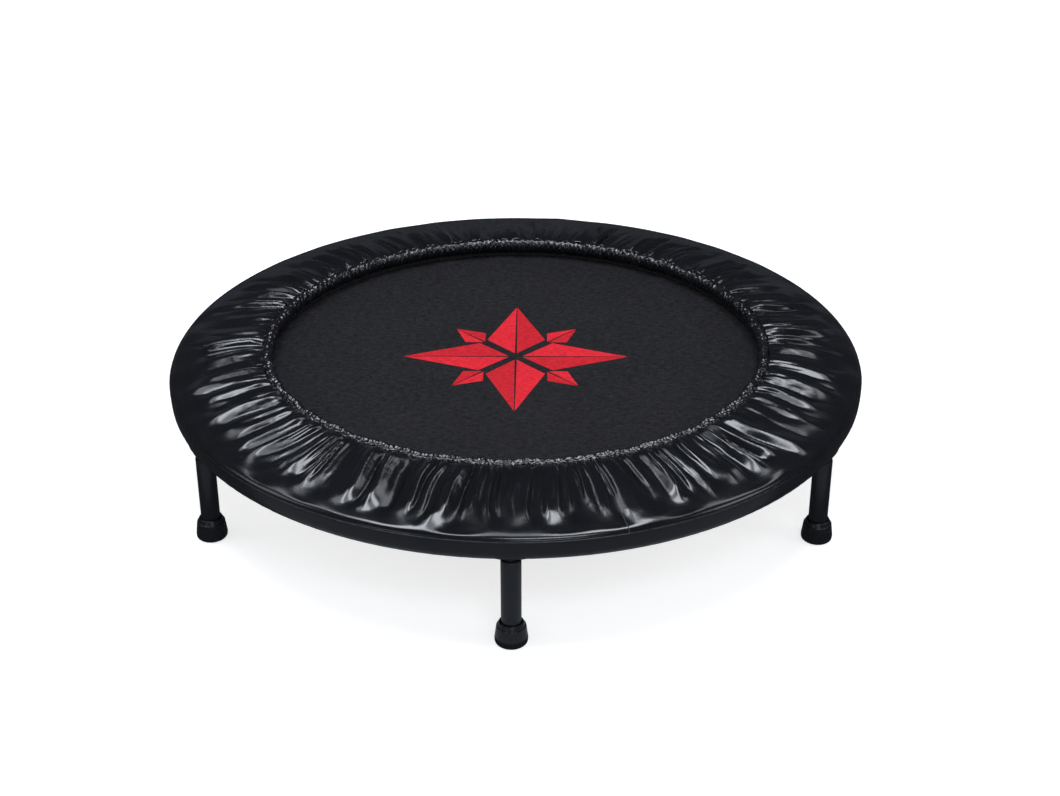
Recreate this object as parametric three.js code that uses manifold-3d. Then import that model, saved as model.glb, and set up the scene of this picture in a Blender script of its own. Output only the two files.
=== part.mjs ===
// Mini trampoline: a round steel frame on six screw-on legs, a woven mat hung on thirty coil springs,
// and a padded vinyl cover gathered on elastic round its inner edge.
//
// Millimetres, +Z up. The origin is on the floor, under the middle of the mat. One leg stands on the -Y side.
// A part that repeats round the frame is drawn once on the +X side, with X as its radius, and turned into place.

import * as THREE from "three";
import { mergeVertices } from "three/addons/utils/BufferGeometryUtils.js";
import Module from "manifold-3d";

const wasm = await Module();
wasm.setup();

// ---- Driving dimensions ----

const OUTER_RADIUS = 482.5; // outside face of the cover: a 38 inch trampoline
const RIM_HEIGHT = 160; // floor to the cover's outer top edge
const CREST_HEIGHT = 179.5; // floor to the cover's highest line, near its gathered edge
const RING_STEPS = 60; // flats round every large ring
const LEGS = 6;
const LEG_SIDES = 12; // flats round every leg piece
const SPRINGS = 30;
const FRAME_TUBE = 12.7; // radius of the frame's 1 inch tube
const LEG_TUBE = 12.7; // radius of the legs' 1 inch tube
const MAT_PLANE = 150; // height of the middle of the mat and of the springs
const FIT_GAP = 0.3; // air between two pieces that touch

// ---- Sizes that follow from them ----

const COVER_SKIN = 1.7; // vinyl and its backing
const FRAME_RADIUS = OUTER_RADIUS - COVER_SKIN - 0.8 - FRAME_TUBE; // middle of the frame tube
const FRAME_HEIGHT = RIM_HEIGHT - 21; // middle of the frame tube
const FRAME_WALL = 1.5;
const BOSS_RADIUS = 7.5; // the welded nuts that hold the legs' studs
const BOSS_BOTTOM = FRAME_HEIGHT - FRAME_TUBE - 4.3;
const STUD_RADIUS = 4.9; // M10 thread
const STUD_LENGTH = 16;
const HOLE_ANGLE = THREE.MathUtils.degToRad(42); // spring holes, above the tube's inner side
const HOLE_RADIUS = 3.2;

const MAT_RADIUS = 362;
const MAT_THICKNESS = 1.6;
const MAT_OPEN_RADIUS = 334; // the part of its top that nothing overhangs
const BAND_INNER = 352;
const BAND_OUTER = 372;
const BAND_HALF = 2.4; // half the thickness of the folded webbing
const RING_WIRE = 1.4; // wire radius of the mat's spring rings
const RING_REACH = 12; // from the webbing to the ring's far end
const RING_HALF_WIDTH = 9;

const COIL_START = 394; // from here to COIL_END the spring is wound
const COIL_END = 446;
const COIL_RADIUS = 5.5;
const HOOK_WIRE = 1.1;
const HOOK_RADIUS = 3.6;

const FOOT_HEIGHT = 31;
const FOOT_SOLE = 5; // rubber under the tube
const LEG_TOP = BOSS_BOTTOM - 2; // the plug's flange fills the 2 mm up to the boss
const LEG_WALL = 1.2;
const PLUG_LENGTH = 20;

const cos = Math.cos;
const sin = Math.sin;

// ---- Materials ----

const finish = (color, roughness, metalness) => new THREE.MeshStandardMaterial({ color, roughness, metalness });

const blackSteel = finish(0x0e0f11, 0.4, 0.5);
const zincSteel = finish(0xb4b8bc, 0.35, 0.9);
const wovenMat = finish(0x17181a, 0.9, 0);
const webbing = finish(0x101012, 0.85, 0);
const vinyl = finish(0x0b0b0d, 0.25, 0);
const foam = finish(0x1d1d1f, 0.95, 0);
const elastic = finish(0x161616, 0.8, 0);
const rubber = finish(0x0c0c0d, 0.75, 0);
const plugPlastic = finish(0x1a1a1c, 0.55, 0);

// ---- Shape tools ----

// A closed geometry as a solid that can be joined and cut.
function solid(geometry) {
  const bare = geometry.clone();
  bare.deleteAttribute("normal");
  bare.deleteAttribute("uv");
  const merged = mergeVertices(bare, 1e-4);
  return new wasm.Manifold(
    new wasm.Mesh({
      numProp: 3,
      vertProperties: merged.attributes.position.array,
      triVerts: new Uint32Array(merged.index.array),
    }),
  );
}

function geometryOf(made) {
  const mesh = made.getMesh();
  const geometry = new THREE.BufferGeometry();
  geometry.setAttribute("position", new THREE.BufferAttribute(mesh.vertProperties, 3));
  geometry.setIndex(new THREE.BufferAttribute(mesh.triVerts, 1));
  return geometry;
}

// A profile of [radius, height] points, listed against the clock, turned round the Z axis.
function turned(profile, steps) {
  const points = profile.map(([r, z]) => new THREE.Vector2(r, z));
  return new THREE.LatheGeometry(points, steps).rotateX(Math.PI / 2);
}

// The same for a profile that doesn't meet the axis: it closes on itself.
const ringOf = (profile, steps = RING_STEPS) => turned([...profile, profile[0]], steps);

function circle(radius, sides, x = 0, z = 0) {
  return Array.from({ length: sides }, (_, i) => {
    const a = ((i + 0.5) * 2 * Math.PI) / sides;
    return [x + radius * cos(a), z + radius * sin(a)];
  });
}

// A torus of round section.
const hoop = (radius, height, section, sides) => ringOf(circle(section, sides, radius, height));

// An upright bar between two heights.
const bar = (radius, low, high, sides) =>
  turned(
    [
      [0, low],
      [radius, low],
      [radius, high],
      [0, high],
    ],
    sides,
  );

// Wire along a curve.
function wire(curve, radius, sides, steps) {
  const section = new THREE.Shape(circle(radius, sides).map(([x, y]) => new THREE.Vector2(x, y)));
  return new THREE.ExtrudeGeometry(section, { steps, extrudePath: curve, bevelEnabled: false });
}

const bend = (points) => new THREE.CatmullRomCurve3(points.map(([x, z]) => new THREE.Vector3(x, 0, z)));

// ---- Assembly helpers ----

const trampoline = new THREE.Group();

function add(name, geometry, material, parent = trampoline) {
  const mesh = new THREE.Mesh(geometry, material);
  mesh.name = name;
  parent.add(mesh);
  return mesh;
}

const spinTo = (angle) => new THREE.Matrix4().makeRotationZ(angle);

// Springs stand 12 degrees apart, and no leg is under one.
const springAngle = (i) => ((i + 0.5) * 2 * Math.PI) / SPRINGS - Math.PI / 2;
const legAngle = (i) => (i * 2 * Math.PI) / LEGS - Math.PI / 2;

// ---- Frame: one bent tube, with a hole for each spring and a boss and stud for each leg ----

function frameRing() {
  const outside = solid(hoop(FRAME_RADIUS, FRAME_HEIGHT, FRAME_TUBE, 10));
  const inside = solid(hoop(FRAME_RADIUS, FRAME_HEIGHT, FRAME_TUBE - FRAME_WALL, 8));

  const drill = solid(bar(HOLE_RADIUS, FRAME_TUBE / 2, FRAME_TUBE + 2, 6))
    .rotate([0, THREE.MathUtils.radToDeg(HOLE_ANGLE) - 90, 0])
    .translate([FRAME_RADIUS, 0, FRAME_HEIGHT]);
  const boss = solid(bar(BOSS_RADIUS, BOSS_BOTTOM, FRAME_HEIGHT - FRAME_TUBE / 2, 8))
    .translate([FRAME_RADIUS, 0, 0])
    .subtract(inside);
  const stud = solid(bar(STUD_RADIUS, BOSS_BOTTOM - STUD_LENGTH, BOSS_BOTTOM + 3, 8)).translate([FRAME_RADIUS, 0, 0]);

  const turn = (piece, angle) => piece.rotate([0, 0, THREE.MathUtils.radToDeg(angle)]);
  let ring = outside.subtract(inside);
  for (let i = 0; i < SPRINGS; i++) ring = ring.subtract(turn(drill, springAngle(i)));
  for (let i = 0; i < LEGS; i++) {
    ring = ring.add(turn(boss, legAngle(i)));
    ring = ring.add(turn(stud, legAngle(i)));
  }
  return geometryOf(ring);
}

add("frame_ring", frameRing(), blackSteel);

// ---- Mat, and the webbing sewn round it with a steel ring for each spring ----

function matDisc() {
  const low = MAT_PLANE - MAT_THICKNESS / 2;
  const high = MAT_PLANE + MAT_THICKNESS / 2;
  return turned(
    [
      [0, low],
      [MAT_RADIUS, low],
      [MAT_RADIUS, high],
      [MAT_OPEN_RADIUS, high],
      [0, high],
    ],
    RING_STEPS,
  );
}

class HalfEllipse extends THREE.Curve {
  getPoint(t, target = new THREE.Vector3()) {
    const a = t * Math.PI;
    const start = BAND_OUTER - 2;
    return target.set(start + RING_REACH * sin(a), -RING_HALF_WIDTH * cos(a), MAT_PLANE);
  }
}

function matBand() {
  const slot = MAT_THICKNESS / 2 + FIT_GAP;
  let band = solid(
    ringOf([
      [BAND_INNER, MAT_PLANE - BAND_HALF],
      [BAND_OUTER, MAT_PLANE - BAND_HALF],
      [BAND_OUTER, MAT_PLANE + BAND_HALF],
      [BAND_INNER, MAT_PLANE + BAND_HALF],
      [BAND_INNER, MAT_PLANE + slot],
      [MAT_RADIUS + 2 * FIT_GAP, MAT_PLANE + slot],
      [MAT_RADIUS + 2 * FIT_GAP, MAT_PLANE - slot],
      [BAND_INNER, MAT_PLANE - slot],
    ]),
  );
  const springRing = solid(wire(new HalfEllipse(), RING_WIRE, 4, 5));
  for (let i = 0; i < SPRINGS; i++) {
    band = band.add(springRing.rotate([0, 0, THREE.MathUtils.radToDeg(springAngle(i))]));
  }
  return geometryOf(band);
}

add("mat", matDisc(), wovenMat);
add("mat_band", matBand(), webbing);

// ---- Springs: a wound length with a hook in the frame's hole and a hook round the mat's ring ----

function coilSpring() {
  const wound = solid(
    turned(
      [
        [0, COIL_START],
        [COIL_RADIUS, COIL_START + 1],
        [COIL_RADIUS, COIL_END - 1],
        [0, COIL_END],
      ],
      7,
    )
      .rotateY(Math.PI / 2)
      .translate(0, 0, MAT_PLANE),
  );
  const ringEnd = BAND_OUTER - 2 + RING_REACH; // middle of the wire that the inner hook goes round
  const innerHook = bend([
    [COIL_START + 4, MAT_PLANE],
    [COIL_START - 3, MAT_PLANE + 1.6],
    [ringEnd, MAT_PLANE + HOOK_RADIUS],
    [ringEnd - HOOK_RADIUS, MAT_PLANE],
    [ringEnd, MAT_PLANE - HOOK_RADIUS],
    [ringEnd + 2.6, MAT_PLANE - HOOK_RADIUS + 0.7],
  ]);
  // the outer hook dips into the frame along the hole's axis
  const along = (depth) => [
    FRAME_RADIUS - (FRAME_TUBE - depth) * cos(HOLE_ANGLE),
    FRAME_HEIGHT + (FRAME_TUBE - depth) * sin(HOLE_ANGLE),
  ];
  const outerHook = bend([
    [COIL_END - 4, MAT_PLANE],
    [COIL_END + 4, MAT_PLANE + 0.8],
    along(-1.4),
    along(2.6),
  ]);
  const hooked = wound
    .add(solid(wire(innerHook, HOOK_WIRE, 3, 7)))
    .add(solid(wire(outerHook, HOOK_WIRE, 3, 3)));
  return geometryOf(hooked);
}

const springShape = coilSpring();
for (let i = 0; i < SPRINGS; i++) {
  const spring = add("spring_" + String(i + 1).padStart(2, "0"), springShape, zincSteel);
  spring.rotation.z = springAngle(i);
}

// ---- Cover: gathered vinyl over a foam pad, held by elastic at its inner edge and in its hem ----

const COVER_INNER = 340; // innermost point of the gathered edge
const HEM_RADIUS = 477.6;
const HEM_BOTTOM = RIM_HEIGHT - 37;

// The cover's outside, from the curled inner edge over the top and down to the hem, as [radius, height].
const coverOutside = [
  [COVER_INNER + 12, CREST_HEIGHT - 13.5],
  [COVER_INNER + 1.5, CREST_HEIGHT - 11.5],
  [COVER_INNER, CREST_HEIGHT - 4],
  [COVER_INNER + 12, CREST_HEIGHT],
  [395, CREST_HEIGHT - 3],
  [450, RIM_HEIGHT + 7],
  [OUTER_RADIUS - 3.5, RIM_HEIGHT],
  [OUTER_RADIUS, RIM_HEIGHT - 5],
  [OUTER_RADIUS, RIM_HEIGHT - 20],
  [OUTER_RADIUS - 2.2, RIM_HEIGHT - 30.5],
  [HEM_RADIUS, HEM_BOTTOM],
];

// An open line moved sideways, to its left, with its corners kept sharp.
function offset(line, by) {
  const points = line.map(([r, z]) => new THREE.Vector2(r, z));
  const sides = points.slice(1).map((p, i) => {
    const along = p.clone().sub(points[i]).normalize();
    return new THREE.Vector2(-along.y, along.x);
  });
  return points.map((p, i) => {
    const before = sides[Math.max(i - 1, 0)];
    const after = sides[Math.min(i, sides.length - 1)];
    const miter = before.clone().add(after).multiplyScalar(by / (1 + before.dot(after)));
    return [p.x + miter.x, p.y + miter.y];
  });
}

function coverShell() {
  const inside = offset(coverOutside, -COVER_SKIN);
  return ringOf([...coverOutside, ...inside.reverse()].reverse());
}

function coverPad() {
  return ringOf([
    [360, MAT_PLANE + 6],
    [450, MAT_PLANE + 6],
    [456, MAT_PLANE + 2.6],
    [478.5, MAT_PLANE + 2.6],
    [478.5, RIM_HEIGHT - 4],
    [450, RIM_HEIGHT + 4.8],
    [395, CREST_HEIGHT - 5.1],
    [360, CREST_HEIGHT - 2.8],
  ]);
}

add("cover", coverShell(), vinyl);
add("cover_pad", coverPad(), foam);
add("cover_elastic", hoop(COVER_INNER + 8, CREST_HEIGHT - 7.5, 3, 4), elastic);
add("hem_elastic", hoop(HEM_RADIUS - 1.1, HEM_BOTTOM + 4.3, 1, 4), elastic);

// ---- Legs: a tube with a threaded plug in its top and a rubber foot on its bottom ----

function legTube() {
  const outside = bar(LEG_TUBE, FOOT_SOLE + FIT_GAP, LEG_TOP - FIT_GAP, LEG_SIDES);
  const bore = bar(LEG_TUBE - LEG_WALL, 0, LEG_TOP + 1, LEG_SIDES);
  return geometryOf(solid(outside).subtract(solid(bore)));
}

function legPlug() {
  const bore = STUD_RADIUS + 0.5;
  const body = (LEG_TUBE - LEG_WALL) * cos(Math.PI / LEG_SIDES) - FIT_GAP; // turns inside the tube's flats
  return ringOf(
    [
      [bore, LEG_TOP - PLUG_LENGTH],
      [body, LEG_TOP - PLUG_LENGTH],
      [body, LEG_TOP],
      [LEG_TUBE, LEG_TOP],
      [LEG_TUBE, BOSS_BOTTOM - FIT_GAP],
      [bore, BOSS_BOTTOM - FIT_GAP],
    ],
    LEG_SIDES,
  );
}

function legFoot() {
  const bore = LEG_TUBE + FIT_GAP;
  return turned(
    [
      [0, 0],
      [17.6, 0],
      [20.8, 3],
      [20.8, 7],
      [18.6, 24.6],
      [17.2, 25.2],
      [15.2, FOOT_HEIGHT],
      [bore, FOOT_HEIGHT],
      [bore, FOOT_SOLE],
      [0, FOOT_SOLE],
    ],
    LEG_SIDES,
  );
}

const legShapes = [
  ["tube", legTube(), blackSteel],
  ["plug", legPlug(), plugPlastic],
  ["foot", legFoot(), rubber],
];
for (let i = 0; i < LEGS; i++) {
  const leg = new THREE.Group();
  leg.applyMatrix4(spinTo(legAngle(i)));
  leg.translateX(FRAME_RADIUS);
  trampoline.add(leg);
  for (const [piece, shape, material] of legShapes) add("leg_" + (i + 1) + "_" + piece, shape, material, leg);
}

export default trampoline;
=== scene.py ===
"""Looks of a mini trampoline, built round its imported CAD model. Metres, +Z up, floor at z 0."""

import math

import bmesh
import bpy
import numpy as np
from mathutils import Matrix, Vector


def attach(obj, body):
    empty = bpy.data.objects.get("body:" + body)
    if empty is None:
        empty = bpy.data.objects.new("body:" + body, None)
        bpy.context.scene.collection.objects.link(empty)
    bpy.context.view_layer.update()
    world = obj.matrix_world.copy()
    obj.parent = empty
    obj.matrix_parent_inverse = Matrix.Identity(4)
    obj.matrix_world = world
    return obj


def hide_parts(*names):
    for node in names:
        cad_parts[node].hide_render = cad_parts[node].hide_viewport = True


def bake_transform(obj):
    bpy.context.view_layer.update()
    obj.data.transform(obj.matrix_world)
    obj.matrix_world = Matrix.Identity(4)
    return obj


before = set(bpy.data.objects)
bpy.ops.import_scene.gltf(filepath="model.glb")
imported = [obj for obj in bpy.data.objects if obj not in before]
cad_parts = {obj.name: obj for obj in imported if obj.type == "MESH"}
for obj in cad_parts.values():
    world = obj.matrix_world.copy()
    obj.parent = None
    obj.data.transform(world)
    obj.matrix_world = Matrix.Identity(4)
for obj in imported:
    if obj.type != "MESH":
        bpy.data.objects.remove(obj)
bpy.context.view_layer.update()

# ---- Sizes, as in the CAD ----

RING_R, RING_Z, TUBE_R = 0.4673, 0.139, 0.0127  # frame tube
BOSS_BOTTOM = RING_Z - TUBE_R - 0.0043  # under the welded nuts
STUD_R, STUD_LENGTH, PITCH = 0.0049, 0.016, 0.0015
HOLE_ANGLE = math.radians(42)  # how far up the tube's inner side the springs' holes are
MAT_Z, MAT_R, MAT_HALF = 0.150, 0.362, 0.0008
BAND_IN, BAND_OUT = 0.352, 0.372  # webbing round the mat
LOOP_REACH, LOOP_HALF, LOOP_WIRE = 0.012, 0.009, 0.0014  # the webbing's wire rings
COIL_IN, COIL_OUT, COIL_R, WIRE_R = 0.394, 0.446, 0.0045, 0.001
LEG_TOP = BOSS_BOTTOM - 0.002
LEG_R, LEG_BORE, SOLE = 0.0127, 0.0115, 0.0050  # leg tube, and the rubber under its end
SPRINGS, LEGS = 30, 6

# ---- Sizes of the cover's look ----

COLS, ROWS = 1440, 46  # points of the top panel, round and across
SEAM_R, SEAM_Z = 0.4822, 0.1530  # where the top panel is sewn to the side band
ROLL = 0.0072  # radius of the rounded rim
STRIP_JOIN = math.radians(-73)  # where the cover's two strips are sewn together
SAG, RISE = 0.0072, 0.0105  # how far a fold may go below and above the panel's line
CASING_R, CASING_Z = 0.3484, 0.1718  # middle of the elastic's casing
CASING_HALF_WIDTH, CASING_HALF_HEIGHT = 0.0080, 0.0096
PUCKER = 0.0024

rng = np.random.default_rng(7)


def spring_angle(i):
    return (i + 0.5) * math.tau / SPRINGS - math.pi / 2


def leg_angle(i):
    return i * math.tau / LEGS - math.pi / 2


# ---- Mesh tools ----


def mesh_of(name, verts, faces):
    """An object from points (n, 3) and an (m, 3) or (m, 4) array of face corners, or a list of them."""
    mesh = bpy.data.meshes.new(name)
    groups = [np.asarray(f) for f in (faces if isinstance(faces, list) else [faces])]
    groups = [f for f in groups if len(f)]
    corners = np.concatenate([f.ravel() for f in groups]).astype(np.int32)
    sizes = np.concatenate([np.full(len(f), f.shape[1]) for f in groups])
    starts = np.concatenate([[0], np.cumsum(sizes)[:-1]]).astype(np.int32)
    mesh.vertices.add(len(verts))
    mesh.vertices.foreach_set("co", np.asarray(verts, np.float32).ravel())
    mesh.loops.add(len(corners))
    mesh.loops.foreach_set("vertex_index", corners)
    mesh.polygons.add(len(sizes))
    mesh.polygons.foreach_set("loop_start", starts)
    mesh.polygons.foreach_set("use_smooth", np.ones(len(sizes), bool))
    mesh.update(calc_edges=True)
    mesh.validate()
    obj = bpy.data.objects.new(name, mesh)
    bpy.context.scene.collection.objects.link(obj)
    return obj


def wrap_faces(rows, cols, closed_rows=False, start=0):
    """Quads over rows of cols points. Columns wrap round, and rows too if closed_rows."""
    last = rows if closed_rows else rows - 1
    r = np.arange(last)[:, None]
    c = np.arange(cols)[None, :]
    n, e = (r + 1) % rows, (c + 1) % cols
    quads = np.stack([r * cols + c, r * cols + e, n * cols + e, n * cols + c], -1)
    return quads.reshape(-1, 4) + start


def end_caps(rows, steps):
    """Triangles that close the first and last of the rows, round two middle points that follow them."""
    c = np.arange(steps)
    e = (c + 1) % steps
    middle, top = rows * steps, (rows - 1) * steps
    low = np.stack([np.full(steps, middle), e, c], -1)
    high = np.stack([np.full(steps, middle + 1), top + c, top + e], -1)
    return [low, high]


def around(profile, steps):
    """Points (rows, steps, 3) of a profile of (r, z) turned round Z."""
    profile = np.asarray(profile, float)
    a = np.arange(steps) * math.tau / steps
    r, z = profile[:, 0, None], profile[:, 1, None]
    return np.stack([r * np.cos(a), r * np.sin(a), z + 0 * a], -1)


def rounded(profile, radius, steps=4, closed=True):
    """The profile with its corners rounded, by one radius or by one for each point."""
    pts = np.asarray(profile, float)
    n = len(pts)
    radii = np.full(n, radius) if np.isscalar(radius) else np.asarray(radius, float)
    out = []
    for i, p in enumerate(pts):
        if (not closed and i in (0, n - 1)) or radii[i] <= 0:
            out.append(p)
            continue
        before, after = pts[i - 1], pts[(i + 1) % n]
        a, b = before - p, after - p
        la, lb = np.linalg.norm(a), np.linalg.norm(b)
        cut = min(radii[i], la * 0.45, lb * 0.45)
        a, b = p + a / la * cut, p + b / lb * cut
        for t in np.linspace(0, 1, steps + 1):
            out.append((1 - t) ** 2 * a + 2 * t * (1 - t) * p + t * t * b)
    return np.array(out)


def turned(name, profile, steps, at=(0, 0), on_axis=False):
    """A body turned round the upright line at (x, y). Its profile is closed, or ends on the axis."""
    pts = np.asarray(profile, float)
    if not on_axis:
        grid = around(pts, steps)
        verts, faces = grid.reshape(-1, 3), wrap_faces(len(pts), steps, True)
    else:
        grid = around(pts[1:-1], steps)
        rows = len(pts) - 2
        verts = np.vstack([grid.reshape(-1, 3), [0, 0, pts[0, 1]], [0, 0, pts[-1, 1]]])
        faces = [wrap_faces(rows, steps), *end_caps(rows, steps)]
    verts = verts + np.array([at[0], at[1], 0])
    return mesh_of(name, verts, faces)


def tube(path, radius, sides=8, closed=False):
    """Vertices and faces of round wire along a path of points: a loop, or with both ends closed."""
    p = np.asarray(path, float)
    n = len(p)
    if closed:
        tangent = np.roll(p, -1, 0) - np.roll(p, 1, 0)
    else:
        tangent = np.gradient(p, axis=0)
    tangent /= np.linalg.norm(tangent, axis=1)[:, None]
    up = np.zeros((n, 3))
    seed = np.array([0, 0, 1.0]) if abs(tangent[0, 2]) < 0.9 else np.array([1.0, 0, 0])
    u = seed - tangent[0] * (seed @ tangent[0])
    for i in range(n):
        u = u - tangent[i] * (u @ tangent[i])
        u /= np.linalg.norm(u)
        up[i] = u
    side = np.cross(tangent, up)
    radii = np.full(n, radius) if np.isscalar(radius) else np.asarray(radius)
    a = np.arange(sides) * math.tau / sides
    ring = up[:, None] * np.cos(a)[None, :, None] + side[:, None] * np.sin(a)[None, :, None]
    verts = (p[:, None] + ring * radii[:, None, None]).reshape(-1, 3)
    faces = [wrap_faces(n, sides, closed)]
    if not closed:
        verts = np.vstack([verts, p[0], p[-1]])
        faces += end_caps(n, sides)
    return verts, faces


def joined(parts):
    """Several (vertices, faces) as one."""
    verts, quads, tris, start = [], [], [], 0
    for v, faces in parts:
        verts.append(v)
        for f in faces if isinstance(faces, list) else [faces]:
            (quads if f.shape[1] == 4 else tris).append(f + start)
        start += len(v)
    faces = [np.concatenate(g) for g in (quads, tris) if g]
    return np.vstack(verts), faces


def spun(verts, angle):
    """The points turned round Z."""
    c, s = math.cos(angle), math.sin(angle)
    return verts @ np.array([[c, s, 0], [-s, c, 0], [0, 0, 1]])


def smooth_path(points, count):
    """A Catmull-Rom curve through the points."""
    p = np.asarray(points, float)
    p = np.vstack([2 * p[0] - p[1], p, 2 * p[-1] - p[-2]])
    spans = len(p) - 3
    out = []
    for t in np.linspace(0, spans, count):
        i = min(int(t), spans - 1)
        f = t - i
        a, b, c, d = p[i : i + 4]
        line = 2 * b + (c - a) * f
        bend = (2 * a - 5 * b + 4 * c - d) * f * f
        out.append(0.5 * (line + bend + (3 * b - a - 3 * c + d) * f**3))
    return np.array(out)


def outward(obj):
    """Faces turned to point out of a closed mesh."""
    bm = bmesh.new()
    bm.from_mesh(obj.data)
    bmesh.ops.recalc_face_normals(bm, faces=bm.faces)
    bm.to_mesh(obj.data)
    bm.free()
    return obj


def put(obj, material, body, slot, *nodes):
    """Give a piece its material and the body it rides on, and hide the CAD nodes it replaces. The slot
    argument is not used.
    """
    obj.data.materials.append(material)
    if body:
        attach(obj, body)
    if nodes:
        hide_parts(*nodes)
    return obj


def apply_modifiers(obj):
    graph = bpy.context.evaluated_depsgraph_get()
    done = bpy.data.meshes.new_from_object(obj.evaluated_get(graph))
    obj.modifiers.clear()
    obj.data = done
    return obj


# ---- Materials ----


class Nodes:
    """A material's node tree, with short calls to build it."""

    def __init__(self, name, color, roughness, metallic=0.0, specular=0.5, coat=0.0):
        self.material = bpy.data.materials.new(name)
        self.material.use_nodes = True
        self.tree = self.material.node_tree
        self.shader = self.tree.nodes["Principled BSDF"]
        s = self.shader.inputs
        s["Base Color"].default_value = (*color, 1)
        s["Roughness"].default_value = roughness
        s["Metallic"].default_value = metallic
        s["Specular IOR Level"].default_value = specular
        s["Coat Weight"].default_value = coat
        s["Coat Roughness"].default_value = 0.12
        self.coordinates = self.add("ShaderNodeTexCoord").outputs["Object"]

    def add(self, kind, **settings):
        node = self.tree.nodes.new(kind)
        for key, value in settings.items():
            setattr(node, key, value)
        return node

    def link(self, a, b):
        self.tree.links.new(a, b)

    def place(self, scale):
        m = self.add("ShaderNodeMapping")
        m.inputs["Scale"].default_value = scale
        self.link(self.coordinates, m.inputs["Vector"])
        return m.outputs["Vector"]

    def noise(self, scale, detail=3, where=None):
        n = self.add("ShaderNodeTexNoise")
        n.inputs["Scale"].default_value = scale
        n.inputs["Detail"].default_value = detail
        self.link(where or self.coordinates, n.inputs["Vector"])
        return n.outputs["Fac"]

    def wave(self, scale, direction):
        n = self.add("ShaderNodeTexWave", wave_type="BANDS", bands_direction=direction)
        n.inputs["Scale"].default_value = scale
        self.link(self.coordinates, n.inputs["Vector"])
        return n.outputs["Fac"]

    def math(self, operation, a, b):
        n = self.add("ShaderNodeMath", operation=operation)
        for socket, value in zip(n.inputs, (a, b)):
            if isinstance(value, (int, float)):
                socket.default_value = value
            else:
                self.link(value, socket)
        return n.outputs[0]

    def span(self, value, low, high, start=0.0, end=1.0):
        n = self.add("ShaderNodeMapRange")
        self.link(value, n.inputs["Value"])
        n.inputs["From Min"].default_value = start
        n.inputs["From Max"].default_value = end
        n.inputs["To Min"].default_value = low
        n.inputs["To Max"].default_value = high
        return n.outputs["Result"]

    def mix(self, fac, a, b):
        n = self.add("ShaderNodeMix", data_type="RGBA")
        self.link(fac, n.inputs["Factor"])
        n.inputs["A"].default_value = (*a, 1)
        n.inputs["B"].default_value = (*b, 1)
        return n.outputs["Result"]

    def bump(self, height, distance, strength=1.0, under=None):
        n = self.add("ShaderNodeBump")
        n.inputs["Distance"].default_value = distance
        n.inputs["Strength"].default_value = strength
        self.link(height, n.inputs["Height"])
        if under:
            self.link(under, n.inputs["Normal"])
        return n.outputs["Normal"]

    def use(self, color=None, roughness=None, normal=None):
        for socket, value in (("Base Color", color), ("Roughness", roughness), ("Normal", normal)):
            if value is not None:
                self.link(value, self.shader.inputs[socket])
        return self.material


def vinyl(name, roughness, specular, grain, coat):
    """Glossy black vinyl: slow changes of tone and gloss over a fine grain."""
    n = Nodes(name, (0.004, 0.004, 0.005), roughness, specular=specular, coat=coat)
    tone = n.mix(n.noise(14, 4), (0.0024, 0.0027, 0.0038), (0.0050, 0.0056, 0.0078))
    rough = n.span(n.noise(30, 4), roughness - 0.05, roughness + 0.08)
    fine = n.bump(n.noise(1100, 2), 0.0001, grain)
    soft = n.bump(n.noise(70, 2), 0.0004, grain, fine)
    return n.use(tone, rough, soft)


def woven(name, color, lighter, pitch, roughness=0.85, depth=0.0004):
    """Woven cloth: checks at the weave's pitch, with streaks along its threads both ways."""
    n = Nodes(name, color, roughness, specular=0.12)
    across, along = n.wave(pitch, "X"), n.wave(pitch, "Y")
    checks = n.math("MAXIMUM", across, along)
    weft = n.span(n.noise(1, 4, n.place((110, 270, 1))), 0, 1, 0.32, 0.68)
    warp = n.span(n.noise(1, 3, n.place((310, 150, 1))), 0, 1, 0.32, 0.68)
    threads = n.math("ADD", n.math("MULTIPLY", weft, 0.5), n.math("MULTIPLY", warp, 0.34))
    patchy = n.math("ADD", n.math("MULTIPLY", checks, 0.08), n.math("MULTIPLY", n.noise(9, 3), 0.2))
    tone = n.mix(n.math("ADD", threads, patchy), color, lighter)
    rough = n.span(n.noise(60, 3), roughness - 0.08, roughness + 0.08)
    return n.use(tone, rough, n.bump(n.math("ADD", checks, threads), depth, 0.8))


def painted(name, color, roughness, specular=0.4):
    n = Nodes(name, color, roughness, specular=specular)
    rough = n.span(n.noise(80, 4), roughness - 0.06, roughness + 0.1)
    tone = n.mix(n.noise(25, 3), color, tuple(c * 1.5 for c in color))
    return n.use(tone, rough, n.bump(n.noise(1500, 2), 0.00008, 0.6))


def rubbery(name, color, roughness):
    n = Nodes(name, color, roughness, specular=0.42)
    rough = n.span(n.noise(120, 4), roughness - 0.08, roughness + 0.1)
    tone = n.mix(n.noise(40, 4), color, tuple(c * 1.7 for c in color))
    return n.use(tone, rough, n.bump(n.noise(700, 3), 0.00015, 0.5))


def zinc():
    n = Nodes("zinc_wire", (0.56, 0.57, 0.6), 0.3, metallic=1.0)
    tone = n.mix(n.noise(90, 4), (0.42, 0.43, 0.46), (0.68, 0.69, 0.72))
    return n.use(tone, n.span(n.noise(160, 3), 0.22, 0.42), n.bump(n.noise(1800, 2), 0.00005, 0.5))


def foam_sheet():
    n = Nodes("foam_sheet", (0.012, 0.012, 0.013), 0.9, specular=0.2)
    cells = n.add("ShaderNodeTexVoronoi", feature="DISTANCE_TO_EDGE")
    cells.inputs["Scale"].default_value = 500
    n.link(n.coordinates, cells.inputs["Vector"])
    tone = n.mix(n.noise(30, 4), (0.008, 0.008, 0.009), (0.018, 0.018, 0.020))
    return n.use(tone, None, n.bump(cells.outputs["Distance"], 0.0006, 0.5))


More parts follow.
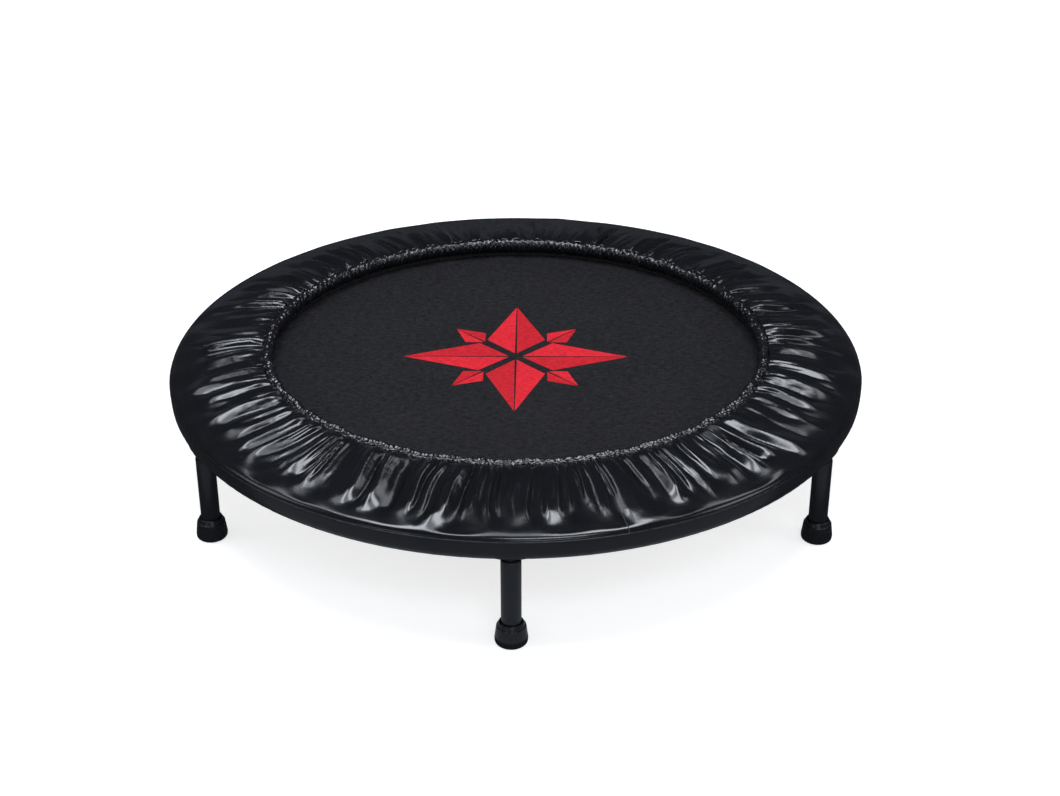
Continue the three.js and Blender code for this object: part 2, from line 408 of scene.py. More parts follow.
GATHERED = vinyl("gathered_vinyl", 0.16, 0.66, 0.35, 0.0)
CASING = vinyl("casing_vinyl", 0.2, 0.7, 0.35, 0.2)
SIDE_VINYL = vinyl("side_vinyl", 0.29, 0.35, 0.3, 0.0)
PIPING = vinyl("piping_vinyl", 0.28, 0.6, 0.3, 0.0)
WEAVE = woven("woven_mat", (0.0018, 0.0018, 0.0023), (0.0235, 0.0230, 0.0262), 260)
PRINT_BRIGHT = woven("red_print", (0.42, 0.0036, 0.011), (0.72, 0.020, 0.037), 260, 0.75, 0.0003)
PRINT_DEEP = woven("deep_red_print", (0.31, 0.003, 0.008), (0.60, 0.014, 0.027), 260, 0.75, 0.0003)
WEBBING = woven("webbing", (0.009, 0.009, 0.010), (0.026, 0.026, 0.028), 420)
THREAD = rubbery("black_thread", (0.02, 0.02, 0.022), 0.6)
STEEL = painted("black_powder_coat", (0.0030, 0.0037, 0.0052), 0.3, 0.5)
ZINC = zinc()
RUBBER = rubbery("foot_rubber", (0.0034, 0.0038, 0.0050), 0.27)
NYLON = painted("black_nylon", (0.010, 0.010, 0.011), 0.45)
FOAM = foam_sheet()


# ---- Folds of the gathered cover ----


def panel_line():
    """The top panel from seam to casing, as (radius, height): over the rim, then gently up and inwards."""
    turns = np.linspace(0, 1.35, 7)
    roll = [(SEAM_R - ROLL * (1 - math.cos(t)), SEAM_Z + ROLL * math.sin(t)) for t in turns]
    flat = [
        (0.466, 0.1624), (0.450, 0.1656), (0.425, 0.1706),
        (0.395, 0.1752), (0.368, 0.1776), (0.3545, 0.1768),
    ]
    return smooth_path(roll + flat, 600)


def even_rows(line, rows):
    """The line's points, spaced evenly along it."""
    far = np.concatenate([[0], np.cumsum(np.linalg.norm(np.diff(line, axis=0), axis=1))])
    at = np.linspace(0, far[-1], rows)
    return np.stack([np.interp(at, far, line[:, 0]), np.interp(at, far, line[:, 1])], -1)


PANEL = even_rows(panel_line(), ROWS)


def across(panel):
    """How far along the panel each row is, from 0 at the rim to 1 at the casing."""
    step = np.linalg.norm(np.diff(panel, axis=0), axis=1)
    return np.concatenate([[0], np.cumsum(step)]) / step.sum()


def ease(x, low, high):
    """A smooth step from 0 at low to 1 at high."""
    t = np.clip((x - low) / (high - low), 0, 1)
    return t * t * (3 - 2 * t)


def pulled_in(a):
    """How far the elastic draws the gathered edge inwards at the front, where the cover is looser."""
    return -0.006 * np.clip(-np.sin(a), 0, 1) ** 2


def tipped(a):
    """How much higher the gathered edge stands at the front than at the back."""
    return -0.0025 * np.sin(a)


def drift(a, cycles, size):
    """A slow random wander round the ring."""
    return size * sum(rng.uniform(0.5, 1) * np.sin(a * k + rng.uniform(0, math.tau)) for k in cycles)


def pleats(u, a, number, start, height, uneven, sharp):
    """Ridges that fan out from the casing, each with its own width, height and reach to the rim.

    At the front they reach further. Each rises to its full height over a fifth of the panel's width.
    """
    ids = np.arange(number)
    knots = (ids + rng.uniform(-uneven, uneven, number)) / number
    tall = height * rng.uniform(0.25, 1.25, number)
    begin = rng.uniform(*start, number)
    around_ring = np.concatenate([knots - 1, knots, knots + 1])
    phase = np.interp((a / math.tau) % 1, around_ring, np.arange(-number, 2 * number))
    low = np.floor(phase).astype(int)
    part = phase - low
    blend = ease(part, 0.3, 0.7)
    here, after = low % number, (low + 1) % number
    size = tall[here] * (1 - blend) + tall[after] * blend
    first = begin[here] * (1 - blend) + begin[after] * blend
    first = first * (1 - 0.4 * ease(-np.sin(a), 0.3, 1.0))
    rise = ease(u[:, None], first, first + 0.22)
    ridge = 1 - (2 * np.minimum(part, 1 - part)) ** sharp
    return size * rise * (ridge - 0.45)


def gathered_panel():
    """The top panel, gathered from the rim to the casing, as points (rows, columns, 3)."""
    u = across(PANEL)
    a = np.arange(COLS) * math.tau / COLS
    base = around(PANEL, COLS)
    sway = drift(a, (5, 9, 14, 22), 0.020)
    lean = a[None, :] + sway[None, :] * u[:, None] + 0.004 * np.sin(9 * u[:, None] + 6 * a[None, :])
    big = pleats(u, lean, 61, (0.09, 0.30), 0.0078, 0.42, 1.15)
    middle = pleats(u, lean + 0.4 * sway[None, :] * u[:, None], 107, (0.18, 0.50), 0.0054, 0.44, 1.05)
    small = pleats(u, lean, 223, (0.55, 0.85), 0.0026, 0.42, 1.1)
    closing = 1 - 0.55 * ease(u, 0.86, 1.0)[:, None]
    shoulder = 0.0007 * drift(a, (17, 23, 31, 43), 1.0)
    shoulder = shoulder * ease(u, 0.04, 0.12)[:, None] * (1 - ease(u, 0.2, 0.4))[:, None]
    base[..., 2] += (big + middle) * closing + small + shoulder
    near_edge = ease(u, 0.45, 1.0)[:, None]
    inwards = 1 + pulled_in(a)[None, :] / PANEL[:, 0, None] * near_edge
    base[..., :2] *= inwards[..., None]
    base[..., 2] += tipped(a)[None, :] * near_edge
    return u, base


def simulate_gathers(panel, u):
    """The panel as cloth: its rest shape is a longer strip, so it buckles into folds by the casing."""
    scale = 10.0  # the cloth solver works better on a larger object
    obj = mesh_of("gather_sim", panel.reshape(-1, 3) * scale, wrap_faces(ROWS, COLS))
    obj.shape_key_add(name="Basis")
    rest = obj.shape_key_add(name="strip")
    wide = np.maximum(PANEL[:, 0], SEAM_R - 0.001)
    step = np.linalg.norm(np.diff(PANEL, axis=0), axis=1)
    drop = np.sqrt(np.maximum(step**2 - np.diff(wide) ** 2, 1e-9))
    strip = around(np.stack([wide, np.concatenate([[0], np.cumsum(drop)])], -1), COLS)
    rest.data.foreach_set("co", (strip.reshape(-1, 3) * scale).astype(np.float32).ravel())
    rest.value = 0
    pins = obj.vertex_groups.new(name="pins")
    held = np.clip(1 - u / 0.22, 0, 1)
    held[-1] = 1
    for row in np.nonzero(held > 0)[0]:
        pins.add(list(range(row * COLS, (row + 1) * COLS)), float(held[row]), "REPLACE")
    cloth = obj.modifiers.new("cloth", "CLOTH")
    s = cloth.settings
    s.rest_shape_key = rest
    s.vertex_group_mass = "pins"
    s.pin_stiffness = 20
    s.quality = 5
    s.mass = 0.02
    s.air_damping = 2
    s.tension_stiffness = 12
    s.compression_stiffness = 12
    s.shear_stiffness = 4
    s.bending_model = "ANGULAR"
    s.bending_stiffness = 3
    s.effector_weights.gravity = 0
    cloth.collision_settings.use_collision = False
    cloth.collision_settings.use_self_collision = False
    frames = 24
    cloth.point_cache.frame_start, cloth.point_cache.frame_end = 1, frames
    scene = bpy.context.scene
    for f in range(1, frames + 1):
        scene.frame_set(f)
    graph = bpy.context.evaluated_depsgraph_get()
    done = obj.evaluated_get(graph).to_mesh()
    co = np.zeros(len(done.vertices) * 3, np.float32)
    done.vertices.foreach_get("co", co)
    bpy.data.objects.remove(obj)
    scene.frame_set(1)
    return co.reshape(ROWS, COLS, 3).astype(float) / scale


def strip_seams(panel):
    """The sewn lines where the cover's two strips of vinyl meet, along the surface from casing to rim."""
    for angle in (STRIP_JOIN, STRIP_JOIN + math.pi):
        column = int(round(angle / math.tau * COLS)) % COLS
        path = panel[:, column] + np.array([0, 0, 0.0004])
        seam = mesh_of("strip_seam", *tube(path, 0.0007, 6))
        put(outward(seam), THREAD, "frame", "vinyl")


def cover_top():
    """The gathered top panel. The cloth's own folds are used on its inner part only."""
    u, panel = gathered_panel()
    settled = simulate_gathers(panel, u)
    shift = settled - panel
    far = np.linalg.norm(shift, axis=-1, keepdims=True)
    inner = ease(u, 0.40, 0.75)[:, None, None]
    panel = panel + shift * inner * np.minimum(1, 0.009 / np.maximum(far, 1e-9))
    floor = (PANEL[:, 1] - SAG)[:, None]
    ceiling = (PANEL[:, 1] + RISE)[:, None]
    z = panel[..., 2]
    z = np.where(z < floor, floor - 0.0008 * np.tanh((floor - z) / 0.0008) * 0.5, z)
    panel[..., 2] = np.minimum(z, ceiling)
    strip_seams(panel)
    top = mesh_of("cover_top", panel.reshape(-1, 3), wrap_faces(ROWS, COLS))
    skin = top.modifiers.new("thickness", "SOLIDIFY")
    skin.thickness, skin.offset = 0.0006, 1
    apply_modifiers(top)
    return put(outward(top), GATHERED, "frame", "vinyl", "cover")


def ridged(count, period, length, offset):
    """Random creases round a ring: sharp ridges whose spacing and height vary."""
    a = np.arange(count) / count
    n = int(length / period)
    knots = np.sort((np.arange(n) + rng.uniform(-0.35, 0.35, n)) / n % 1)
    tall = rng.uniform(0.35, 1.0, n)
    crests = np.concatenate([knots - 1, knots, knots + 1])
    hollows = (crests[1:] + crests[:-1]) / 2
    places = np.sort(np.concatenate([crests, hollows]))
    heights = np.zeros(len(places))
    heights[0::2] = np.concatenate([tall, tall, tall])
    return np.interp((a + offset) % 1, places, heights)


def cover_casing():
    """The elastic's casing: a ring of vinyl drawn up into tight puckers, with a sewn groove near its top."""
    cols, rows = 3000, 26
    phi = np.arange(rows) * math.tau / rows
    groove = 1 - 0.22 * np.exp(-(((phi - 1.35) / 0.26) ** 2))
    section_r = CASING_R + CASING_HALF_WIDTH * groove * np.cos(phi)
    section_z = CASING_Z + CASING_HALF_HEIGHT * groove * np.sin(phi)
    grid = around(np.stack([section_r, section_z], -1), cols)
    length = math.tau * CASING_R
    bump = np.zeros((rows, cols))
    for shift, weight, period in ((0.0, 1.0, 0.0056), (0.33, 1.0, 0.0078), (0.61, 0.8, 0.0125)):
        crease = ridged(cols, period, length, shift)
        twist, waver = rng.uniform(-7, 7), rng.uniform(3, 6)
        for j in range(rows):
            slide = twist * math.sin(phi[j]) + waver * math.sin(3 * phi[j] + shift * 9)
            moved = np.roll(crease, int(round(slide)))
            bump[j] += weight * moved * (0.8 + 0.2 * math.sin(phi[j] * 2 + shift * 7))
    bump = (bump - bump.mean()) * PUCKER
    a = np.arange(cols) * math.tau / cols
    wander = 0.0008 * np.sin(a * 23 + 1.3) + 0.0007 * np.sin(a * 41 + 4.0) + 0.0005 * np.sin(a * 67)
    radial = bump * np.cos(phi)[:, None] + (wander + pulled_in(a))[None, :]
    grid[..., 0] += radial * np.cos(a)
    grid[..., 1] += radial * np.sin(a)
    grid[..., 2] += bump * np.sin(phi)[:, None] + (0.5 * np.roll(wander, 40) + tipped(a))[None, :]
    ring = mesh_of("cover_casing", grid.reshape(-1, 3), wrap_faces(rows, cols, True))
    return put(outward(ring), CASING, "frame", "vinyl", "cover_elastic")


def side_line(near_leg):
    """The side band's outline, from the seam to the hem's rolled end. By a leg it stays outside the nut."""
    free = [
        (0.4823, 0.141), (0.4814, 0.135), (0.4785, 0.1297), (0.474, 0.1258),
        (0.469, 0.1236), (0.4655, 0.1229), (0.4645, 0.1240), (0.4660, 0.1252),
    ]
    held = [
        (0.4824, 0.141), (0.4822, 0.137), (0.4817, 0.1335), (0.4809, 0.1308),
        (0.4800, 0.1291), (0.4791, 0.1284), (0.4785, 0.1290), (0.4788, 0.1302),
    ]
    drop = [(SEAM_R + 0.0002, SEAM_Z + 0.0002), (0.4826, 0.1515), (0.4826, 0.147)]
    free, held = np.array(free), np.array(held)
    return smooth_path([*drop, *(free + (held - free) * near_leg)], 44)


def cover_side():
    """The side band, pulled in under the frame tube by the elastic in its hem."""
    cols = 1080
    a = np.arange(cols) * math.tau / cols
    from_leg = np.abs((a - leg_angle(0) + math.pi / LEGS) % (math.tau / LEGS) - math.pi / LEGS)
    near = 1 - ease(from_leg, 0.028, 0.054)
    lines = np.stack([side_line(0), side_line(1)])
    line = lines[0][:, None] * (1 - near)[None, :, None] + lines[1][:, None] * near[None, :, None]
    low = ease(-lines[0][:, 1], -0.140, -0.1255)
    waves = sum(rng.uniform(0.4, 1) * np.sin(a * k + rng.uniform(0, 6.3)) for k in (9, 14, 23, 31))
    puckers = sum(rng.uniform(0.4, 1) * np.sin(a * k + rng.uniform(0, 6.3)) for k in (97, 131, 173, 211))
    off = 0.00008 * waves[None, :] * ease(-lines[0][:, 1], -0.152, -0.146)[:, None]
    off = off + 0.00016 * puckers[None, :] * low[:, None]
    r = line[..., 0] + off
    z = line[..., 1] + 0.5 * off * low[:, None]
    grid = np.stack([r * np.cos(a), r * np.sin(a), z], -1)
    band = mesh_of("cover_side", grid.reshape(-1, 3), wrap_faces(len(line), cols))
    skin = band.modifiers.new("thickness", "SOLIDIFY")
    skin.thickness, skin.offset = 0.0007, -1
    apply_modifiers(band)
    return put(outward(band), SIDE_VINYL, "frame", "vinyl", "hem_elastic")


def rim_piping():
    """The sewn edge that stands up a little where the top panel meets the side band."""
    cols = 1440
    a = np.arange(cols) * math.tau / cols
    wobble = 0.00012 * np.sin(a * 160 + 2 * np.sin(a * 7)) + 0.0001 * np.sin(a * 37)
    r = SEAM_R + 0.0001 + 0.5 * wobble
    path = np.stack([r * np.cos(a), r * np.sin(a), SEAM_Z + 0.0003 + wobble], -1)
    piping = mesh_of("rim_piping", *tube(path, 0.0010, 8, closed=True))
    return put(outward(piping), PIPING, "frame", "vinyl")


def foam_pad():
    """The pad, which lies over the springs and the frame tube and thins towards the rim."""
    profile = rounded(
        [
            (0.362, 0.1537), (0.376, 0.1537), (0.380, 0.1561), (0.449, 0.1561), (0.455, 0.1532),
            (0.4745, 0.1528), (0.4755, 0.1556), (0.450, 0.1592), (0.395, 0.1668), (0.362, 0.1690),
        ],
        0.0012,
    )
    grid = around(profile, 240)
    a = np.arange(240) * math.tau / 240
    soft = sum(rng.uniform(0.3, 1) * np.sin(a * k + rng.uniform(0, 6.3)) for k in (5, 11, 17, 29))
    grid[..., 2] += 0.00012 * soft[None, :]
    pad = mesh_of("cover_foam", grid.reshape(-1, 3), wrap_faces(len(profile), 240, True))
    return put(outward(pad), FOAM, "frame", "foam", "cover_pad")


# ---- Mat ----


def mat_surface():
    """The woven disc, drawn up and down a little between the springs at its edge."""
    radii = np.concatenate([np.linspace(0.02, 0.28, 14), np.linspace(0.295, 0.3600, 10), [0.3615, MAT_R]])
    cols = 360
    a = np.arange(cols) * math.tau / cols
    pull = np.cos(SPRINGS * (a + math.pi / 2 - math.tau / SPRINGS / 2))
    heights = 0.00035 * np.outer(ease(radii, 0.27, 0.35), pull)
    edge = np.ones(len(radii))
    edge[-2:] = (0.75, 0.3)
    layers = []
    for side in (1, -1):
        z = MAT_Z + side * MAT_HALF * edge[:, None] + heights
        r = radii[:, None] + 0 * a
        layers.append(np.stack([r * np.cos(a), r * np.sin(a), z], -1))
    # rows run from the middle of the underside, out round the edge, and back to the middle of the top
    top, bottom = layers[0][::-1], layers[1]
    grid = np.concatenate([bottom, top])
    rows = len(grid)
    verts = np.vstack([grid.reshape(-1, 3), [0, 0, MAT_Z - MAT_HALF], [0, 0, MAT_Z + MAT_HALF]])
    mat = mesh_of("mat_weave", verts, [wrap_faces(rows, cols), *end_caps(rows, cols)])
    return put(outward(mat), WEAVE, "mat", "woven_mat", "mat")


def flat_print(name, outlines, material):
    """Thin printed areas on the mat, each a convex outline of (x, y)."""
    parts = []
    base, top = MAT_Z + MAT_HALF - 0.0001, MAT_Z + MAT_HALF + 0.00016
    for outline in outlines:
        p = np.asarray(outline, float)
        n = len(p)
        middle = p.mean(0)
        low = np.column_stack([p, np.full(n, base)])
        high = np.column_stack([p, np.full(n, top)])
        verts = np.vstack([low, high, [*middle, base], [*middle, top]])
        parts.append((verts, [wrap_faces(2, n), *end_caps(2, n)]))
    obj = mesh_of(name, *joined(parts))
    obj.data.polygons.foreach_set("use_smooth", np.zeros(len(obj.data.polygons), bool))
    return put(outward(obj), material, "mat", "woven_mat")


def badge():
    """A plain faceted star with eight points, printed in two reds."""
    bright, deep = [], []
    gap = 0.0016

    def spoke(angle, tip, waist, spread, root):
        along = np.array([math.cos(angle), math.sin(angle)])
        side = np.array([-along[1], along[0]])
        for sign, group in ((1, bright), (-1, deep)):
            inner = along * root + side * sign * gap
            middle = along * waist + side * sign * spread
            outer = along * tip + side * sign * gap * 0.4
            group.append([inner, middle, outer][::sign])

    for k in range(4):
        spoke(k * math.pi / 2 + math.pi / 2, 0.158, 0.052, 0.0415, 0.010)
    for k in range(4):
        spoke(k * math.pi / 2 + math.pi / 4, 0.122, 0.083, 0.0200, 0.0645)
    flat_print("badge_bright", bright, PRINT_BRIGHT)
    flat_print("badge_deep", deep, PRINT_DEEP)


def mat_edge():
    """Webbing folded over the mat's edge, its stitches, and the wire loops that the springs hook on to."""
    profile = rounded(
        [
            (BAND_IN, MAT_Z - 0.0022), (BAND_OUT, MAT_Z - 0.0022),
            (BAND_OUT, MAT_Z + 0.0022), (BAND_IN, MAT_Z + 0.0022),
            (BAND_IN, MAT_Z + 0.0011), (MAT_R + 0.0006, MAT_Z + 0.0011),
            (MAT_R + 0.0006, MAT_Z - 0.0011), (BAND_IN, MAT_Z - 0.0011),
        ],
        [0.0006, 0.0016, 0.0016, 0.0006, 0.0003, 0.0002, 0.0002, 0.0003],
    )
    band = turned("mat_webbing", profile, 360)
    put(outward(band), WEBBING, "mat", "webbing", "mat_band")

    loops = []
    for i in range(SPRINGS):
        t = np.linspace(0, math.pi, 25)
        x = BAND_OUT - 0.002 + LOOP_REACH * np.sin(t)
        y = -LOOP_HALF * np.cos(t)
        path = np.stack([x, y, np.full_like(x, MAT_Z)], -1)
        v, f = tube(path, LOOP_WIRE * 0.92, 8)
        loops.append((spun(v, spring_angle(i)), f))
    wires = mesh_of("mat_loops", *joined(loops))
    put(outward(wires), ZINC, "mat", "zinc_steel")

    stitches = []
    length, thick = 0.0034, 0.00032
    for row_r, count in ((0.3545, 446), (0.3580, 450), (0.3695, 464)):
        for side in (1, -1):
            for k in range(count):
                a = (k + 0.5 * (side > 0)) * math.tau / count
                t = np.linspace(-0.5, 0.5, 4) * length
                z = MAT_Z + side * (0.00215 + thick * np.array([-0.6, 0.6, 0.6, -0.6]))
                path = np.stack([np.full(4, row_r), t, z], -1)
                v, f = tube(path, thick, 4)
                stitches.append((spun(v, a), f))
    sewn = mesh_of("mat_stitches", *joined(stitches))
    put(sewn, THREAD, "mat", "webbing")


# ---- Springs ----


def hole_point(depth):
    """A point on the axis of a spring's hole, this far inside the tube's outer face."""
    reach = TUBE_R - depth
    return (RING_R - reach * math.cos(HOLE_ANGLE), RING_Z + reach * math.sin(HOLE_ANGLE))


def spring_shape():
    """One wire: a hook in the frame's hole, the coil, and a hook round the webbing's ring."""
    turns, per_turn = 24, 14
    t = np.linspace(0, 1, turns * per_turn + 1)
    x = COIL_OUT - 0.001 - t * (COIL_OUT - COIL_IN - 0.002)
    wound = math.tau * turns * t
    helix = np.stack([x, COIL_R * np.sin(wound), MAT_Z + COIL_R * np.cos(wound)], -1)
    deep, mouth = hole_point(0.0030), hole_point(-0.0012)
    into_frame = smooth_path(
        [
            (deep[0], 0, deep[1]),
            (mouth[0], 0, mouth[1]),
            (COIL_OUT + 0.0048, 0, MAT_Z + 0.0012),
            (COIL_OUT + 0.0012, 0.0010, MAT_Z + 0.0030),
            tuple(helix[0]),
        ],
        22,
    )
    loop_x = BAND_OUT - 0.002 + LOOP_REACH
    hook_r = 0.0036
    bend = np.radians([62, 100, 140, 180, 220, 262, 300])
    around_loop = [(loop_x + hook_r * math.cos(a), 0, MAT_Z + hook_r * math.sin(a)) for a in bend]
    onto_loop = smooth_path(
        [
            tuple(helix[-1]),
            (COIL_IN - 0.0012, 0.0008, MAT_Z + 0.0034),
            (COIL_IN - 0.0034, 0.0, MAT_Z + 0.0022),
            *around_loop,
        ],
        40,
    )
    path = np.vstack([into_frame[:-1], helix, onto_loop[1:]])
    return tube(path, WIRE_R, 6)


def springs():
    verts, faces = spring_shape()
    for i in range(SPRINGS):
        a = spring_angle(i)
        obj = mesh_of(f"coil_{i + 1:02d}", spun(verts, a), faces)
        put(outward(obj), ZINC, None, "zinc_steel", f"spring_{i + 1:02d}")
        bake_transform(obj)


# ---- Frame ----


def threaded(radius, low, high, steps=28):
    """A rod with a right-hand thread: points round a helix-shaped surface, closed at both ends."""
    per_turn = 10
    rows = int((high - low) / PITCH * per_turn) + 1
    z = np.linspace(low, high, rows)
    a = np.arange(steps) * math.tau / steps
    phase = (z[:, None] / PITCH - a[None, :] / math.tau) % 1
    tooth = 1 - np.abs(phase - 0.5) * 2
    fade = np.clip((z - low) / 0.001, 0, 1)[:, None]
    r = radius - 0.0009 * (1 - np.clip(tooth * 1.25, 0, 1)) - 0.0008 * (1 - fade)
    grid = np.stack([r * np.cos(a), r * np.sin(a), z[:, None] + 0 * a], -1)
    verts = np.vstack([grid.reshape(-1, 3), [0, 0, low], [0, 0, high]])
    return verts, [wrap_faces(rows, steps), *end_caps(rows, steps)]


def frame_tube():
    """The bent tube, with a drilled hole for each spring's hook."""
    sides, cols = 28, 360
    phi = np.arange(sides) * math.tau / sides
    section = np.stack([RING_R + TUBE_R * np.cos(phi), RING_Z + TUBE_R * np.sin(phi)], -1)
    ring = mesh_of("frame_tube", around(section, cols).reshape(-1, 3), wrap_faces(sides, cols, True))
    outward(ring)
    drills = []
    for i in range(SPRINGS):
        start, end = hole_point(-0.003), hole_point(0.0045)
        path = np.linspace((start[0], 0, start[1]), (end[0], 0, end[1]), 3)
        v, f = tube(path, 0.0032, 16)
        drills.append((spun(v, spring_angle(i)), f))
    cutter = outward(mesh_of("drills", *joined(drills)))
    cut = ring.modifiers.new("holes", "BOOLEAN")
    cut.operation, cut.object, cut.solver = "DIFFERENCE", cutter, "EXACT"
    apply_modifiers(ring)
    bpy.data.objects.remove(cutter)
    ring.data.set_sharp_from_angle(angle=math.radians(40))
    return put(ring, STEEL, "frame", "black_steel", "frame_ring")


def leg_seats():
    """The nut and weld bead under the frame for each leg, and the threaded stud that stands out of it."""
    nuts, studs, beads = [], [], []
    nut_top = RING_Z - TUBE_R / 2 - 0.001
    nut_line = rounded(
        [
            (0.0001, BOSS_BOTTOM), (0.0085, BOSS_BOTTOM), (0.0095, BOSS_BOTTOM + 0.0007),
            (0.0095, nut_top), (0.0001, nut_top),
        ],
        0.0003, 2,
    )
    for i in range(LEGS):
        turn = leg_angle(i)
        shift = np.array([RING_R, 0, 0])
        grid = around(nut_line, 48)
        a = np.arange(48) * math.tau / 48
        limit = 0.0098 * (math.cos(math.pi / 6) / np.cos((a % (math.pi / 3)) - math.pi / 6))
        r = np.hypot(grid[..., 0], grid[..., 1])
        shrink = np.minimum(1, limit[None, :] / np.maximum(r, 1e-6))
        grid[..., 0] *= shrink
        grid[..., 1] *= shrink
        nuts.append((spun(grid.reshape(-1, 3) + shift, turn), wrap_faces(len(nut_line), 48, True)))
        v, f = threaded(STUD_R, BOSS_BOTTOM - STUD_LENGTH, BOSS_BOTTOM + 0.002)
        studs.append((spun(v + shift, turn), f))
        b = np.linspace(0, math.tau, 72, endpoint=False)
        lump = 1 + 0.10 * np.sin(b * 17) + 0.05 * np.sin(b * 31 + 1)
        bead_r = 0.0100
        z = RING_Z - np.sqrt(TUBE_R**2 - (bead_r * np.cos(b)) ** 2) - 0.0003
        path = np.stack([bead_r * np.cos(b), bead_r * np.sin(b), z], -1)
        v, f = tube(path, 0.0014 * lump, 8, closed=True)
        beads.append((spun(v + shift, turn), f))
    seats = put(outward(mesh_of("leg_nuts", *joined(nuts))), STEEL, "frame", "black_steel")
    seats.data.set_sharp_from_angle(angle=math.radians(35))
    put(outward(mesh_of("weld_beads", *joined(beads))), STEEL, "frame", "black_steel")
    put(outward(mesh_of("leg_studs", *joined(studs))), ZINC, "frame", "zinc_steel")


# ---- Legs ----


def leg_lines():
    """Outlines of a leg's tube, its threaded plug and its foot, as (radius, height)."""
    tube_line = rounded(
        [
            (LEG_BORE, SOLE + 0.0003), (LEG_R, SOLE + 0.0003),
            (LEG_R, LEG_TOP - 0.0003), (LEG_BORE, LEG_TOP - 0.0003),
        ],
        [0.0003, 0.0004, 0.0006, 0.0003], 3,
    )
    plug_line = rounded(
        [
            (0.0054, LEG_TOP - 0.020), (0.0108, LEG_TOP - 0.020), (0.0108, LEG_TOP), (LEG_R, LEG_TOP),
            (LEG_R, BOSS_BOTTOM - 0.0003), (0.0054, BOSS_BOTTOM - 0.0003),
        ],
        [0.0003, 0.0005, 0.0002, 0.0004, 0.0007, 0.0005], 3,
    )
    grooves = [
        (0.0, 0.0), (0.0055, 0.0), (0.0060, 0.0009), (0.0085, 0.0009), (0.0090, 0.0),
        (0.0125, 0.0), (0.0130, 0.0009), (0.0150, 0.0009), (0.0155, 0.0),
    ]
    flank = [
        (0.0180, 0.0), (0.0204, 0.0022), (0.0209, 0.0065), (0.0198, 0.0150), (0.0187, 0.0236),
        (0.0184, 0.0251), (0.0173, 0.0252), (0.0162, 0.0285), (0.0150, 0.0310), (0.0133, 0.0310),
    ]
    socket = [(0.0130, 0.0295), (0.0130, SOLE), (0.0, SOLE)]
    flank_radii = [0.0015, 0.0025, 0.006, 0.010, 0.0008, 0.0006, 0.0004, 0.003, 0.0012, 0.0006]
    radii = [0, *[0.0002] * 8, *flank_radii, 0.0008, 0.0005, 0]
    foot_line = rounded(grooves + flank + socket, radii, 3, closed=False)
    return tube_line, plug_line, foot_line


def leg_pieces():
    tube_line, plug_line, foot_line = leg_lines()
    for i in range(LEGS):
        a = leg_angle(i)
        at = (RING_R * math.cos(a), RING_R * math.sin(a))
        n = i + 1
        post = turned(f"leg_{n}_post", tube_line, 48, at)
        put(outward(post), STEEL, f"leg_{n}", "black_steel", f"leg_{n}_tube")
        plug = turned(f"leg_{n}_insert", plug_line, 48, at)
        put(outward(plug), NYLON, f"leg_{n}_thread", "plug_plastic", f"leg_{n}_plug")
        foot = turned(f"leg_{n}_boot", foot_line, 64, at, on_axis=True)
        put(outward(foot), RUBBER, f"leg_{n}", "rubber", f"leg_{n}_foot")


# ---- Build ----

top = cover_top()
casing = cover_casing()
side = cover_side()
piping = rim_piping()
pad = foam_pad()
weave = mat_surface()
badge()
mat_edge()
springs()
frame_tube()
leg_seats()
leg_pieces()

# ---- Floor, light and camera ----

FLOOR_R, BEND_R, WALL_TOP = 8.0, 2.0, 8.0


def studio_floor():
    """A round floor that sweeps up into a wall, so that no view looks past its edge."""
    turns = np.linspace(0, math.pi / 2, 10)
    bend = [(FLOOR_R + BEND_R * math.sin(t), BEND_R - BEND_R * math.cos(t)) for t in turns]
    line = np.array([(0.001, 0.0), *bend, (FLOOR_R + BEND_R, WALL_TOP)])
    floor = mesh_of("floor", around(line, 96).reshape(-1, 3), wrap_faces(len(line), 96))
    if floor.data.polygons[0].normal.z < 0:
        floor.data.flip_normals()
    n = Nodes("floor_paint", (0.6, 0.6, 0.6), 0.75, specular=0.1)
    tone = n.mix(n.noise(0.8, 2), (0.59, 0.59, 0.595), (0.62, 0.62, 0.62))
    n.shader.inputs["Emission Color"].default_value = (1.0, 1.0, 1.0, 1)
    n.shader.inputs["Emission Strength"].default_value = 0.68
    floor.data.materials.append(n.use(tone))
    clear_from_behind(n)
    floor.visible_glossy = False


def clear_from_behind(n):
    """The floor's underside lets the eye through, so the object can be seen from below."""
    side = n.add("ShaderNodeNewGeometry").outputs["Backfacing"]
    mix = n.add("ShaderNodeMixShader")
    n.link(side, mix.inputs[0])
    n.link(n.shader.outputs["BSDF"], mix.inputs[1])
    n.link(n.add("ShaderNodeBsdfTransparent").outputs["BSDF"], mix.inputs[2])
    n.link(mix.outputs[0], n.tree.nodes["Material Output"].inputs["Surface"])


def area_light(name, at, aim, size, power, color):
    """A rectangular lamp at one point, aimed at another, that the camera doesn't see."""
    data = bpy.data.lights.new(name, "AREA")
    data.shape = "RECTANGLE"
    data.size, data.size_y = size
    data.energy = power
    data.color = color
    lamp = bpy.data.objects.new(name, data)
    bpy.context.scene.collection.objects.link(lamp)
    lamp.location = at
    lamp.visible_camera = False
    lamp.rotation_mode = "QUATERNION"
    lamp.rotation_quaternion = (Vector(at) - Vector(aim)).to_track_quat("Z", "Y")


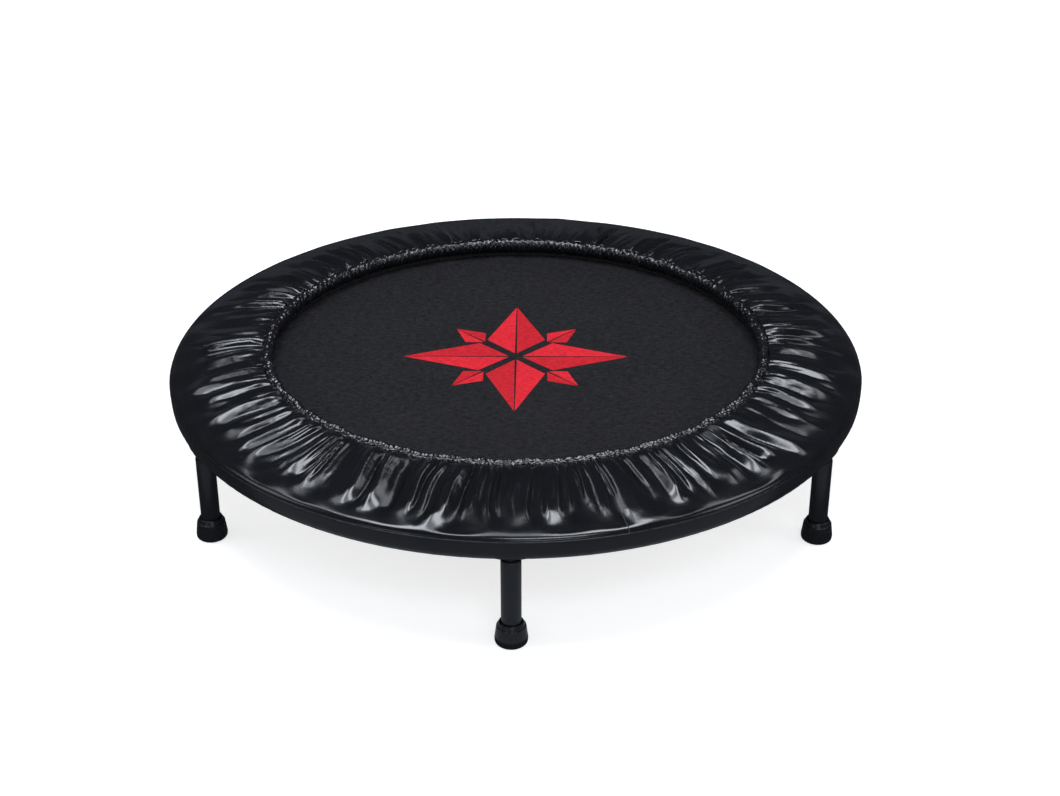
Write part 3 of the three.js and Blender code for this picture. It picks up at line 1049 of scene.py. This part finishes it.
studio_floor()
area_light("overhead_left", (-0.95, 0.0, 3.0), (-0.95, 0, 0), (0.9, 1.3), 36, (0.88, 0.93, 1.0))
area_light("overhead_right", (0.75, 0.0, 3.0), (0.75, 0, 0), (0.8, 1.3), 30, (0.90, 0.94, 1.0))
area_light("overhead", (-0.08, 0.0, 3.0), (-0.08, 0, 0), (0.84, 1.3), 9, (0.86, 0.92, 1.0))
area_light("upper_left", (-1.35, 0.8, 2.4), (0, 0, 0.1), (0.8, 0.6), 4, (0.88, 0.93, 1.0))
area_light("upper_right", (1.35, 0.8, 2.4), (0, 0, 0.1), (0.8, 0.6), 4, (0.92, 0.95, 1.0))
area_light("backdrop", (0, 3.6, 0.75), (0, 0, 0.3), (6.0, 0.9), 0.9, (0.66, 0.80, 1.0))
area_light("left_panel", (-2.6, -0.4, 1.7), (0, 0, 0.1), (1.0, 1.4), 7, (0.88, 0.93, 1.0))
area_light("right_panel", (2.5, -0.9, 1.5), (0, 0, 0.1), (1.0, 1.2), 8, (0.93, 0.95, 1.0))
area_light("floor_glow", (0, -0.68, 0.01), (0, -0.68, 1), (1.9, 0.66), 1.2, (0.80, 0.89, 1.0))
area_light("front_low", (0.55, -3.2, 0.85), (0, 0, 0.0), (1.1, 0.4), 6, (0.84, 0.91, 1.0))
area_light("front_high", (0.5, -2.5, 2.7), (0, 0, 0.1), (1.2, 0.8), 20, (0.88, 0.93, 1.0))
area_light("front_left", (-1.9, -2.9, 0.7), (0, 0, 0.0), (1.0, 0.5), 3, (0.80, 0.89, 1.0))

world = bpy.data.worlds.new("studio")
world.use_nodes = True
sky = world.node_tree.nodes["Background"].inputs
sky["Color"].default_value = (0.9, 0.93, 1.0, 1)
sky["Strength"].default_value = 0.05
bpy.context.scene.world = world
bpy.context.scene.view_settings.view_transform = "Standard"

camera_data = bpy.data.cameras.new("camera")
camera_data.sensor_width = 36
camera_data.lens = 61.13
camera_data.shift_x = 0.0055
camera_data.shift_y = -0.0162
camera = bpy.data.objects.new("camera", camera_data)
bpy.context.scene.collection.objects.link(camera)
pitch, yaw, roll = math.radians(28.20), math.radians(-0.526), math.radians(0.072)
camera.matrix_world = (
    Matrix.Translation((0.0326, -2.2623, 1.3249))
    @ Matrix.Rotation(-yaw, 4, "Z")
    @ Matrix.Rotation(math.pi / 2 - pitch, 4, "X")
    @ Matrix.Rotation(-roll, 4, "Z")
)
bpy.context.scene.camera = camera
